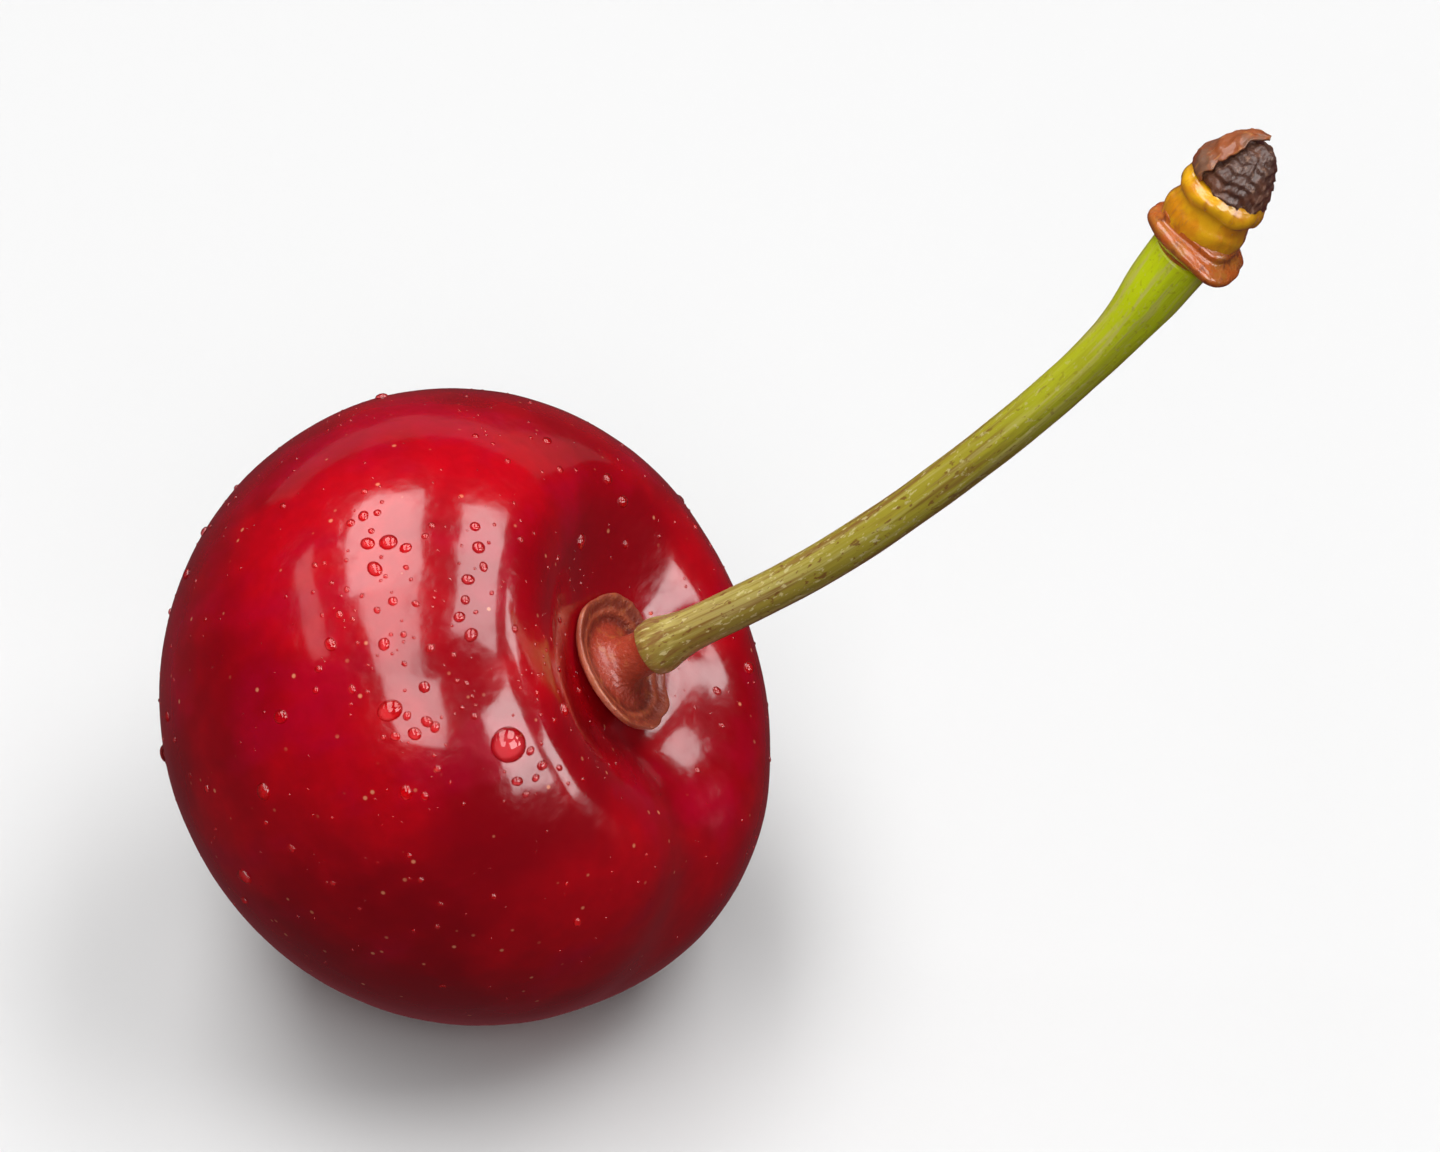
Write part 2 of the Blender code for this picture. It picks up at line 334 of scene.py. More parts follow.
def noise_of(material, place, scale, detail=3.0, rough=0.55):
    """Soft noise from 0 to 1."""
    made = add_node(material, "ShaderNodeTexNoise",
                    {"Vector": place, "Scale": scale, "Detail": detail, "Roughness": rough})
    return made.outputs["Fac"]


def ramp(material, value, stops):
    """A colour ramp through pairs of position and colour or grey."""
    made = add_node(material, "ShaderNodeValToRGB", {"Fac": value})
    made.color_ramp.interpolation = "EASE"
    elements = made.color_ramp.elements
    while len(elements) < len(stops):
        elements.new(0.5)
    for element, (position, colour) in zip(elements, stops):
        element.position = position
        grey = isinstance(colour, (int, float))
        element.color = (colour, colour, colour, 1.0) if grey else (*colour[:3], 1.0)
    return made.outputs["Color"]


def mix(material, share, first, second):
    """The second colour laid over the first by a share."""
    made = material.node_tree.nodes.new("ShaderNodeMix")
    made.data_type = "RGBA"
    sockets = (made.inputs["Factor"], made.inputs[6], made.inputs[7])    # 6 and 7 are the colours
    for socket, value in zip(sockets, (share, first, second)):
        if isinstance(value, bpy.types.NodeSocket):
            material.node_tree.links.new(value, socket)
        elif socket is made.inputs["Factor"]:
            socket.default_value = value
        else:
            socket.default_value = (*value[:3], 1.0)
    return made.outputs[2]


def product(material, first, second):
    """Two values multiplied."""
    made = add_node(material, "ShaderNodeMath", {0: first, 1: second}, operation="MULTIPLY")
    return made.outputs["Value"]


def spread_of(material, value, low, high):
    """A value from 0 to 1 spread between two others."""
    made = add_node(material, "ShaderNodeMapRange",
                    {"Value": value, "To Min": low, "To Max": high})
    return made.outputs["Result"]


def measure(material, operation, vectors):
    """The length of a vector, or the distance between two."""
    made = add_node(material, "ShaderNodeVectorMath", vectors, operation=operation)
    return made.outputs["Value"]


def along(material, place, low, high):
    """A value that rises from 0 to 1 between two heights of the piece's own Z."""
    split = add_node(material, "ShaderNodeSeparateXYZ", {"Vector": place})
    made = add_node(material, "ShaderNodeMapRange",
                    {"Value": split.outputs["Z"], "From Min": low, "From Max": high})
    return made.outputs["Result"]


def bump(material, height, depth, under=None):
    """A bump of a depth in metres, on top of another."""
    inputs = {"Height": height, "Distance": depth}
    if under is not None:
        inputs["Normal"] = under
    return add_node(material, "ShaderNodeBump", inputs).outputs["Normal"]


def feed(material, **sockets):
    """Link values to the shader's sockets."""
    for socket, value in sockets.items():
        material.node_tree.links.new(value, shader_of(material).inputs[socket.replace("_", " ")])


# ---- finishes ----

WHITE, BLACK = (1.0, 1.0, 1.0), (0.0, 0.0, 0.0)
PORE_PALE, SCAR_BROWN = (0.90, 0.30, 0.16), (0.17, 0.055, 0.02)
STALK_MID, STALK_UPPER = (0.48, 0.41, 0.038), (0.60, 0.63, 0.022)
STREAK_BROWN, STREAK_STRAW = (0.27, 0.115, 0.035), (0.70, 0.62, 0.20)
FRECKLE_BROWN, FLECK_PALE = (0.22, 0.075, 0.025), (0.78, 0.70, 0.34)
RING_ORANGE, RING_DARK = (0.55, 0.20, 0.03), (0.17, 0.030, 0.012)
SPUR_ORANGE, SPUR_BROWN = (0.86, 0.31, 0.010), (0.50, 0.15, 0.012)
CORK_RUSSET, CORK_PALE = (0.19, 0.066, 0.030), (0.46, 0.26, 0.17)
SCALE_COPPER, SCALE_GREY = (0.36, 0.095, 0.026), (0.22, 0.12, 0.075)
SCALE_EDGE = (0.62, 0.26, 0.08)
COLLAR_FIBRE = (0.50, 0.13, 0.035)
# From the collar's neck out to its rim: position and colour
COLLAR_BANDS = (
    (0.28, (0.42, 0.050, 0.020)), (0.52, (0.42, 0.048, 0.022)), (0.66, (0.22, 0.030, 0.014)),
    (0.73, (0.44, 0.085, 0.038)), (0.80, (0.27, 0.042, 0.020)), (0.93, (0.36, 0.070, 0.034)),
    (0.97, (0.60, 0.19, 0.11)),
)
# Painted shade in the drops: dark red tints over the skin seen through a drop, from its middle to
# its darkest at its rim
WATER_PAINTED_SHADE = (
    (0.10, (0.62, 0.13, 0.14)), (0.40, (0.40, 0.045, 0.05)), (0.70, (0.12, 0.006, 0.008)),
)


def skin_material(settings):
    """Wet red skin: deeper and brighter patches, crimson patches that are partly a painted sheen,
    pale pores and a slightly uneven gloss.
    """
    material = new_material("cherry_skin", Roughness=0.16, IOR=1.45, Subsurface_Weight=0.18,
                            Subsurface_Scale=0.9 * MM, Subsurface_Radius=(1.0, 0.12, 0.08),
                            Coat_Weight=0.9, Coat_Roughness=0.08)
    place = own_place(material)
    patches = noise_of(material, place, 0.13, 3.0)
    mottle = noise_of(material, place, 1.1, 4.0, 0.6)
    colour = mix(material, ramp(material, patches, ((0.36, 0.0), (0.62, 1.0))),
                 settings.deep, settings.bright)
    # Crimson patches: partly the skin's own bluer tone, partly a painted magenta sheen standing
    # for reflections
    bluer_and_painted_sheen = noise_of(material, stretched(material, place, (1.0, 1.0, 0.6)), 0.21, 3.0)
    colour = mix(material, ramp(material, bluer_and_painted_sheen, ((0.50, 0.0), (0.68, 0.7))),
                 colour, settings.crimson)
    colour = mix(material, ramp(material, mottle, ((0.35, 0.22), (0.65, 0.0))),
                 colour, settings.deep)
    pores = add_node(material, "ShaderNodeTexVoronoi", {"Vector": place, "Scale": 0.95})
    dots = ramp(material, pores.outputs["Distance"], ((0.045, 1.0), (0.12, 0.0)))
    chosen = ramp(material, noise_of(material, place, 0.5, 1.0), ((0.42, 0.0), (0.58, 0.9)))
    colour = mix(material, product(material, dots, chosen), colour, PORE_PALE)
    scar = measure(material, "DISTANCE", {0: place, 1: (0.0, 0.0, SCAR_HEIGHT)})
    colour = mix(material, ramp(material, scar, ((0.40, 1.0), (0.80, 0.0))), colour, SCAR_BROWN)
    gloss = spread_of(material, noise_of(material, place, 2.4, 3.0), 0.12, 0.24)
    waves = bump(material, noise_of(material, place, 0.55, 2.0), 0.07 * MM)
    normal = bump(material, noise_of(material, place, 3.2, 3.0), 0.008 * MM, under=waves)
    feed(material, Base_Color=colour, Roughness=gloss, Normal=normal)
    return material


def stalk_material(settings):
    """Green stalk: olive and browned near the fruit, lime near the knob, finely streaked."""
    material = new_material("stalk_bark", IOR=1.45, Subsurface_Weight=0.30,
                            Subsurface_Scale=0.8 * MM, Subsurface_Radius=(0.9, 1.0, 0.25),
                            Coat_Weight=0.35, Coat_Roughness=0.2)
    place = own_place(material)
    run = along(material, place, 0.0, STALK_RUN)
    colour = ramp(material, run, ((0.0, settings.olive), (0.45, STALK_MID), (0.68, STALK_UPPER),
                                  (0.86, settings.lime)))
    streaks = noise_of(material, stretched(material, place, (2.6, 2.6, 0.16)), 1.0, 4.0, 0.6)
    brown = product(material, ramp(material, streaks, ((0.46, 0.0), (0.66, 0.85))),
                    ramp(material, run, ((0.25, 1.0), (0.85, 0.10))))
    colour = mix(material, brown, colour, STREAK_BROWN)
    threads = noise_of(material, stretched(material, place, (3.4, 3.4, 0.10)), 1.0, 3.0)
    pale = ramp(material, threads, ((0.50, 0.0), (0.64, 0.55)))
    colour = mix(material, pale, colour, STREAK_STRAW)
    freckles = noise_of(material, stretched(material, place, (1.0, 1.0, 0.55)), 4.6, 2.0)
    brown = product(material, ramp(material, freckles, ((0.60, 0.0), (0.68, 0.75))),
                    ramp(material, run, ((0.35, 1.0), (0.75, 0.25))))
    colour = mix(material, brown, colour, FRECKLE_BROWN)
    flecks = noise_of(material, stretched(material, place, (1.0, 1.0, 0.5)), 5.4, 2.0)
    pale = product(material, ramp(material, flecks, ((0.60, 0.0), (0.68, 0.7))),
                   ramp(material, run, ((0.35, 1.0), (0.80, 0.3))))
    colour = mix(material, pale, colour, FLECK_PALE)
    lines = noise_of(material, stretched(material, place, (5.0, 5.0, 0.25)), 1.0, 3.0)
    normal = bump(material, lines, 0.05 * MM)
    gloss = spread_of(material, streaks, 0.22, 0.42)
    feed(material, Base_Color=colour, Roughness=gloss, Normal=normal)
    return material


def tissue_material(name, main, stain, grain, stretch, depth, rough, wet):
    """Plant tissue, more or less wet: a main colour, stained patches and a fine raised grain."""
    material = new_material(name, IOR=1.45, Subsurface_Weight=0.2, Subsurface_Scale=0.4 * MM,
                            Subsurface_Radius=(1.0, 0.6, 0.2), Coat_Weight=wet,
                            Coat_Roughness=0.07)
    place = own_place(material)
    patches = noise_of(material, place, 0.9, 4.0, 0.6)
    fine = noise_of(material, stretched(material, place, stretch), 1.0, 4.0, 0.6)
    colour = mix(material, ramp(material, patches, ((0.45, 0.0), (0.64, 0.85))), main, stain)
    colour = mix(material, ramp(material, fine, ((0.53, 0.0), (0.70, 0.7))), colour, grain)
    normal = bump(material, fine, depth)
    gloss = spread_of(material, fine, rough - 0.1, rough + 0.12)
    feed(material, Base_Color=colour, Roughness=gloss, Normal=normal)
    return material


def water_material():
    """Clear water with a trace of ripple and painted shade: the skin shows through it tinted dark
    red, darker towards its rim.
    """
    material = new_material("clear_water", Roughness=0.0, IOR=1.333, Transmission_Weight=1.0,
                            Specular_IOR_Level=0.8, Coat_Weight=0.9, Coat_Roughness=0.02)
    place = add_node(material, "ShaderNodeTexCoord", {}).outputs["Object"]
    facing = add_node(material, "ShaderNodeLayerWeight", {"Blend": 0.5}).outputs["Facing"]
    ripple = noise_of(material, place, 1400.0, 1.0)
    # Painted shade: the water's colour darkens the skin seen through it, most at the drop's rim
    feed(material, Base_Color=ramp(material, facing, WATER_PAINTED_SHADE),
         Normal=bump(material, ripple, 0.004 * MM))
    return material


def floor_material(colour):
    """A pale matt floor with the faintest unevenness, fading to even white far from the fruit."""
    white = (BACKDROP_WHITE, BACKDROP_WHITE, BACKDROP_WHITE, 1.0)
    material = new_material("pale_floor", Roughness=0.9, Specular_IOR_Level=0.0,
                            Emission_Color=white)
    place = add_node(material, "ShaderNodeTexCoord", {}).outputs["Object"]
    shade = ramp(material, noise_of(material, place, 3.0, 3.0),
                 ((0.3, [part * 0.97 for part in colour]), (0.7, colour)))
    away = measure(material, "LENGTH", {0: place})
    fade = add_node(material, "ShaderNodeMapRange",
                    {"Value": away, "From Min": FADE_START, "From Max": FADE_END})
    fade.interpolation_type = "SMOOTHSTEP"
    share = fade.outputs["Result"]
    feed(material, Base_Color=mix(material, share, shade, BLACK), Emission_Strength=share)
    return material


# ---- fruit ----

def fruit_place():
    return frame_along(STEM_AXIS, SUTURE_SIDE, FRUIT_CENTRE)


def skin_point(direction, cheeks, fruit):
    """The skin's point, in the fruit's own frame, for a unit direction from its centre."""
    height = fruit.stem_height if direction.z > 0 else fruit.apex_height
    swell = sum(rise * bell(direction.angle(cheek), spread) for cheek, rise, spread in cheeks)
    point = Vector((direction.x * fruit.radius, direction.y * fruit.radius, direction.z * height))
    point += direction * swell

    # The stalk cavity, and the dimple at the far end
    if direction.z > 0:
        reach = math.hypot(point.x, point.y - CAVITY_SHIFT) / fruit.cavity_spread
        point.z -= fruit.cavity_depth * math.exp(-reach ** CAVITY_STEEPNESS)
    else:
        point.z += DIMPLE_DEPTH * bell(math.hypot(point.x, point.y), DIMPLE_SPREAD)

    # The suture, and the shallower valley opposite it
    near_stem = smoothstep(0.0, 0.75, direction.z)
    depth = fruit.suture_depth * (SUTURE_LEAST + (1 - SUTURE_LEAST) * near_stem)
    groove = depth * smoothstep(1.5 * MM, 5.0 * MM, point.y) * bell(point.x, SUTURE_SPREAD)
    valley = smoothstep(1.5 * MM, 6.0 * MM, -point.y) * near_stem
    groove += VALLEY_DEPTH * valley * bell(point.x, VALLEY_SPREAD)

    # The skin is never quite even
    wave = 0.05 * MM * noise.noise(point / (4.5 * MM))
    wave += 0.015 * MM * noise.noise(point / (1.6 * MM))
    return point - direction * (groove - wave)


class CHERRY_OT_fruit(Operator):
    """Build the fruit: flesh and skin in one piece, flattened where it rests"""
    bl_idname = "cherry.fruit"
    bl_label = "Fruit"

    def execute(self, context):
        fruit = context.scene.cherry.fruit
        place = fruit_place()
        to_own_frame = place.to_3x3().transposed()
        cheeks = [(to_own_frame @ side.normalized(), rise, spread)
                  for side, rise, spread in CHEEKS]
        bm = bmesh.new()
        bmesh.ops.create_uvsphere(bm, u_segments=fruit.around, v_segments=fruit.rings, radius=1.0)
        for vertex in bm.verts:
            vertex.co = skin_point(vertex.co.normalized(), cheeks, fruit)
        write_own(bm)
        bmesh.ops.transform(bm, matrix=place, verts=bm.verts)
        whole = bm.verts[:] + bm.edges[:] + bm.faces[:]
        cut = bmesh.ops.bisect_plane(bm, geom=whole, dist=0.001 * MM, plane_co=(0, 0, 0),
                                     plane_no=(0, 0, 1), clear_inner=True)
        rim = [item for item in cut["geom_cut"] if isinstance(item, bmesh.types.BMEdge)]
        bmesh.ops.contextual_create(bm, geom=rim)
        bmesh.ops.recalc_face_normals(bm, faces=bm.faces)
        finish_piece(bm, "fruit_skin", skin_material(fruit), "fruit")
        return {"FINISHED"}


# ---- stalk and collar ----

def route_point(t):
    """A point of the stalk's centre line, from 0 at the neck to 1 at the knob."""
    points = [FRUIT_CENTRE + point for point in STALK_ROUTE]
    padded = [points[0] * 2 - points[1]] + points + [points[-1] * 2 - points[-2]]
    scaled = t * (len(points) - 1)
    span = min(int(scaled), len(points) - 2)
    return curve_through(padded[span:span + 4], scaled - span)


def stalk_length():
    steps = 200
    places = [route_point(i / steps) for i in range(steps + 1)]
    return sum((b - a).length for a, b in zip(places, places[1:]))


class CHERRY_OT_collar(Operator):
    """Build the receptacle collar: a thin saucer with a flared neck in the fruit's cavity"""
    bl_idname = "cherry.collar"
    bl_label = "Collar"

    def execute(self, context):
        stalk = context.scene.cherry.stalk
        rim = stalk.collar_radius
        foot = route_point(0.0)
        axis = (route_point(0.05) - foot).normalized()
        base = foot - axis * COLLAR_SINK
        profile = [
            (0.0, 2.60 * MM),
            (0.98 * MM, 2.57 * MM),
            (0.99 * MM, 2.10 * MM),
            (1.02 * MM, 1.70 * MM),
            (1.08 * MM, 1.30 * MM),
            (1.30 * MM, 0.92 * MM),
            (rim * 0.56, 0.66 * MM),
            (rim * 0.68, 0.64 * MM),
            (rim * 0.76, 0.76 * MM),
            (rim * 0.84, 0.78 * MM),
            (rim * 0.93, 0.94 * MM),
            (rim * 0.985, 0.98 * MM),
            (rim, 0.86 * MM),
            (rim * 0.97, 0.66 * MM),
            (rim * 0.80, 0.34 * MM),
            (rim * 0.45, 0.0),
            (0.0, -0.15 * MM),
        ]
        bm = spun(smooth_profile(profile, 3), 120)

        def worn(radius, angle, height):
            out = smoothstep(0.35 * rim, rim, radius)
            ripple = noise.noise(Vector((math.cos(angle), math.sin(angle), 0.3)) * 2.2)
            crimp = noise.noise(Vector((math.cos(angle), math.sin(angle), 4.0)) * 7.0)
            curl = bell(angle_from(angle, COLLAR_CURL_SIDE), 1.0)
            radius *= 1.0 + out * (0.045 * ripple + 0.012 * crimp - 0.02 * curl)
            height += out * (0.16 * ripple + 0.05 * crimp + COLLAR_CURL * curl) * MM
            return radius, angle, height

        reshape(bm, worn)
        write_own(bm)
        bmesh.ops.transform(bm, matrix=frame_along(axis, SUTURE_SIDE, base), verts=bm.verts)
        finish_piece(bm, "collar_saucer", collar_material(), "receptacle_collar")
        return {"FINISHED"}


def collar_material():
    """Thin tan saucer, paler at its rim and red-brown up its neck."""
    material = new_material("collar_tissue", IOR=1.45, Roughness=0.36, Subsurface_Weight=0.2,
                            Subsurface_Scale=0.4 * MM, Subsurface_Radius=(1.0, 0.5, 0.2),
                            Coat_Weight=0.5, Coat_Roughness=0.12)
    place = own_place(material)
    out = measure(material, "LENGTH", {0: stretched(material, place, (1.0, 1.0, 0.0))})
    reach = add_node(material, "ShaderNodeMapRange",
                     {"Value": out, "From Max": COLLAR_REACH}).outputs["Result"]
    colour = ramp(material, reach, COLLAR_BANDS)
    fibres = noise_of(material, stretched(material, place, (1.6, 1.6, 1.6)), 1.0, 4.0, 0.6)
    share = ramp(material, fibres, ((0.52, 0.0), (0.68, 0.6)))
    colour = mix(material, share, colour, COLLAR_FIBRE)
    normal = bump(material, noise_of(material, place, 3.5, 3.0), 0.10 * MM)
    feed(material, Base_Color=colour, Normal=normal)
    return material


class CHERRY_OT_stalk(Operator):
    """Build the stalk: a slender ribbed tube, thicker at both ends, on its curved route"""
    bl_idname = "cherry.stalk"
    bl_label = "Stalk"

    def execute(self, context):
        stalk = context.scene.cherry.stalk
        length = stalk_length()
        bm = bmesh.new()
        bmesh.ops.create_cone(bm, cap_ends=True, segments=56, radius1=1.0, radius2=1.0, depth=1.0)
        rails = [edge for edge in bm.edges if abs(edge.verts[0].co.z - edge.verts[1].co.z) > 0.5]
        bmesh.ops.subdivide_edges(bm, edges=rails, cuts=219, use_grid_fill=True)
        own = bm.verts.layers.float_vector.new("own")
        for vertex in bm.verts:
            t = min(max(vertex.co.z + 0.5, 0.0), 1.0) ** 1.2
            angle = math.atan2(vertex.co.y, vertex.co.x)
            radius = stalk_radius(t, angle, stalk)
            straight = Vector((radius * math.cos(angle), radius * math.sin(angle), t * length))
            vertex[own] = straight / MM
            ahead = route_point(min(t + 0.01, 1.0)) - route_point(max(t - 0.01, 0.0))
            place = frame_along(ahead, SUTURE_SIDE, route_point(t))
            vertex.co = place @ Vector((straight.x, straight.y, 0.0))
        bmesh.ops.recalc_face_normals(bm, faces=bm.faces)
        finish_piece(bm, "stalk_stem", stalk_material(stalk), "stalk")
        return {"FINISHED"}


def stalk_radius(t, angle, stalk):
    """The stalk's radius: a rolled lip at its foot, faint ribs and the swelling end."""
    lip = (stalk.foot_radius - stalk.radius) * (bell(t, LIP_SPREAD) - 0.35 * bell(t, 0.008))
    swell = (stalk.end_radius - stalk.radius) * smoothstep(SWELL_START, 1.0, t) ** 1.6
    around = Vector((math.cos(angle), math.sin(angle), 0.0))
    ribs = noise.noise(around * 1.5 + Vector((0.0, 0.0, t * 3.0)))
    fine = noise.noise(around * 4.5 + Vector((0.0, 0.0, t * 5.0)))
    knots = noise.noise(Vector((t * 14.0, 1.7, 0.0)))
    uneven = 1.0 + 0.06 * ribs + 0.022 * fine + 0.03 * knots
    return (stalk.radius + lip + swell) * uneven


# ---- knob ----

def knob_frame(distance, lean=0.0):
    """The knob's frame, at a distance past the stalk's end, leaning to the right."""
    axis = KNOB_AXIS + Vector((lean, 0.0, 0.0))
    return frame_along(axis, SUTURE_SIDE, route_point(1.0) + KNOB_AXIS * distance)


def rough_around(angle, height, turns, seed):
    """Noise over a turned surface."""
    round_about = Vector((math.cos(angle), math.sin(angle), 0.0)) * turns
    return noise.noise(round_about + Vector((0.0, 0.0, height / MM + seed)))


class CHERRY_OT_knob(Operator):
    """Build the knob: the rust-brown ring with its lobe and the amber swollen part"""
    bl_idname = "cherry.knob"
    bl_label = "Knob"

    def execute(self, context):
        knob = context.scene.cherry.knob
        self.add_ring(knob)
        self.add_spur(knob)
        return {"FINISHED"}

    def add_ring(self, knob):
        """The ring hangs out in a lobe on the suture side."""
        r = knob.ring_radius
        profile = [
            (0.0, 1.50 * MM), (r * 0.74, 1.50 * MM), (r * 0.80, 1.12 * MM),
            (r * 0.92, 0.96 * MM), (r, 0.72 * MM), (r * 0.97, 0.46 * MM), (r * 0.84, 0.26 * MM),
            (r * 0.64, 0.06 * MM), (r * 0.55, -0.22 * MM), (0.0, -0.22 * MM),
        ]
        bm = spun(smooth_profile(profile, 3), 110)

        def lobed(radius, angle, height):
            lobe = bell(angle_from(angle, LOBE_SIDE), 0.55)
            second = bell(angle_from(angle, SMALL_LOBE_SIDE), 0.35)
            out = smoothstep(r * 0.55, r, radius)
            radius *= 1.0 + out * (0.17 * lobe + 0.04 * second
                                   + 0.09 * rough_around(angle, height, 1.6, 0.0)
                                   + 0.03 * rough_around(angle, height, 4.0, 9.0))
            height -= out * (LOBE_DROP * lobe + 0.12 * rough_around(angle, height, 1.4, 5.0)) * MM
            return radius, angle, height

        reshape(bm, lobed)
        write_own(bm)
        bmesh.ops.transform(bm, matrix=knob_frame(RING_START), verts=bm.verts)
        rust = tissue_material("ring_tissue", knob.rust, RING_ORANGE, RING_DARK,
                               stretch=(2.4, 2.4, 2.4), depth=0.07 * MM, rough=0.26, wet=1.0)
        finish_piece(bm, "knob_ring", rust, "abscission_ring")

    def add_spur(self, knob):
        """The amber part has a waist and a second, smaller ring near its top."""
        r = knob.spur_radius
        profile = [
            (0.0, 2.25 * MM), (r * 0.80, 2.25 * MM), (r * 0.98, 2.02 * MM),
            (r * 1.06, 1.72 * MM), (r * 1.04, 1.42 * MM), (r * 0.93, 1.16 * MM),
            (r * 0.94, 0.80 * MM), (r * 1.0, 0.45 * MM), (r * 0.99, 0.08 * MM),
            (r * 0.93, -0.30 * MM), (r * 0.86, -0.62 * MM), (0.0, -0.62 * MM),
        ]
        bm = spun(smooth_profile(profile, 3), 110)

        def wrinkled(radius, angle, height):
            out = smoothstep(r * 0.4, r, radius)
            radius *= 1.0 + out * (0.07 * rough_around(angle, height * 0.6, 1.5, 3.0)
                                   + 0.025 * rough_around(angle, height * 0.5, 5.0, 7.0))
            height += out * 0.14 * MM * rough_around(angle, height, 1.8, 1.0)
            return radius, angle, height

        reshape(bm, wrinkled)
        write_own(bm)
        bmesh.ops.transform(bm, matrix=knob_frame(SPUR_START), verts=bm.verts)
        amber = tissue_material("spur_tissue", knob.amber, SPUR_ORANGE, SPUR_BROWN,
                                stretch=(1.6, 1.6, 0.7), depth=0.06 * MM, rough=0.24, wet=1.0)
        finish_piece(bm, "knob_spur", amber, "spur_knob")


def cap_outline(radius, grow):
    """Radius and height along the cap's sloping side, top first, grown outwards by grow."""
    shape = ((0.22, 1.0), (0.40, 0.95), (0.54, 0.84), (0.66, 0.70), (0.77, 0.56), (0.87, 0.42),
             (0.95, 0.28), (0.99, 0.14), (0.95, 0.0))
    return [(radius * side + grow, (CAP_LENGTH + grow) * height) for side, height in shape]


class CHERRY_OT_cap(Operator):
    """Build the corky cap and the dry bud scale that lies over one side of it"""
    bl_idname = "cherry.cap"
    bl_label = "Cap"

    def execute(self, context):
        knob = context.scene.cherry.knob
        self.add_cork(knob)
        self.add_scale(knob)
        return {"FINISHED"}

    def add_cork(self, knob):
        profile = [(0.0, CAP_LENGTH), *cap_outline(knob.cap_radius, 0.0), (0.0, 0.0)]
        bm = spun(smooth_profile(profile, 3), 130)

        def corky(radius, angle, height):
            out = smoothstep(0.0, knob.cap_radius * 0.5, radius)
            ridges = rough_around(angle, height * 0.25, 5.5, 2.0)
            bumps = rough_around(angle, height * 1.4, 3.0, 6.0)
            layer = height / (0.46 * MM) + 1.1 * rough_around(angle, height * 0.3, 1.3, 4.0)
            layer %= 1.0
            flake = (1.0 - layer) * smoothstep(0.0, 0.2, layer)
            radius *= 1.0 + out * (0.055 * ridges + 0.06 * bumps + 0.085 * flake - 0.03)
            crust = Vector((radius * math.cos(angle), radius * math.sin(angle), 0.0)) / (0.42 * MM)
            height += 0.20 * MM * noise.noise(crust)
            return radius, angle, height

        reshape(bm, corky)
        write_own(bm)
        bmesh.ops.transform(bm, matrix=knob_frame(CAP_START, CAP_LEAN), verts=bm.verts)
        cork = tissue_material("cork_tissue", knob.cork, CORK_RUSSET, CORK_PALE,
                               stretch=(3.2, 3.2, 0.9), depth=0.16 * MM, rough=0.50, wet=0.5)
        finish_piece(bm, "knob_cap", cork, "corky_cap")

    def add_scale(self, knob):
        """A thin curved leaf, spun part of a turn and drawn to a point past the cap's top."""
        tip = (0.08 * MM, CAP_LENGTH + SCALE_OVERHANG)
        points = smooth_profile([tip, *cap_outline(knob.cap_radius, SCALE_GAP)], 2)
        bm = bmesh.new()
        verts = [bm.verts.new((radius, 0.0, height)) for radius, height in points]
        edges = [bm.edges.new(pair) for pair in zip(verts, verts[1:])]
        turn = Matrix.Rotation(SCALE_SIDE - SCALE_ARC / 2, 3, "Z")
        bmesh.ops.rotate(bm, verts=bm.verts[:], cent=(0, 0, 0), matrix=turn)
        bmesh.ops.spin(bm, geom=verts + edges, cent=(0, 0, 0), axis=(0, 0, 1),
                       angle=SCALE_ARC, steps=44)
        bmesh.ops.recalc_face_normals(bm, faces=bm.faces)
        if sum(face.normal.dot(face.calc_center_median()) for face in bm.faces) < 0:
            bmesh.ops.reverse_faces(bm, faces=bm.faces)

        def leafy(radius, angle, height):
            side = angle_from(angle, SCALE_SIDE) / (SCALE_ARC / 2)
            ragged = 0.20 * noise.noise(Vector((side * 0.6, height / (0.30 * MM), 2.0)))
            angle = SCALE_SIDE + side * (0.86 + ragged) * SCALE_ARC / 2
            curl = 0.09 * MM * side ** 2 * smoothstep(0.0, CAP_LENGTH, height)
            fold = 0.13 * MM * noise.noise(Vector((side * 2.6, height / (0.42 * MM), 8.0)))
            crease = 0.07 * MM * noise.noise(Vector((side * 5.0, height / (0.22 * MM), 3.0)))
            radius += curl + fold + crease
            return max(radius, 0.02 * MM), angle, height

        reshape(bm, leafy)
        bmesh.ops.solidify(bm, geom=bm.faces[:], thickness=-SCALE_THICKNESS)
        bmesh.ops.recalc_face_normals(bm, faces=bm.faces)
        write_own(bm)
        bmesh.ops.transform(bm, matrix=knob_frame(CAP_START, CAP_LEAN), verts=bm.verts)
        copper = tissue_material("scale_tissue", SCALE_COPPER, SCALE_GREY, SCALE_EDGE,
                                 stretch=(2.6, 2.6, 0.9), depth=0.10 * MM, rough=0.42, wet=0.5)
        finish_piece(bm, "knob_scale", copper, "bud_scale")
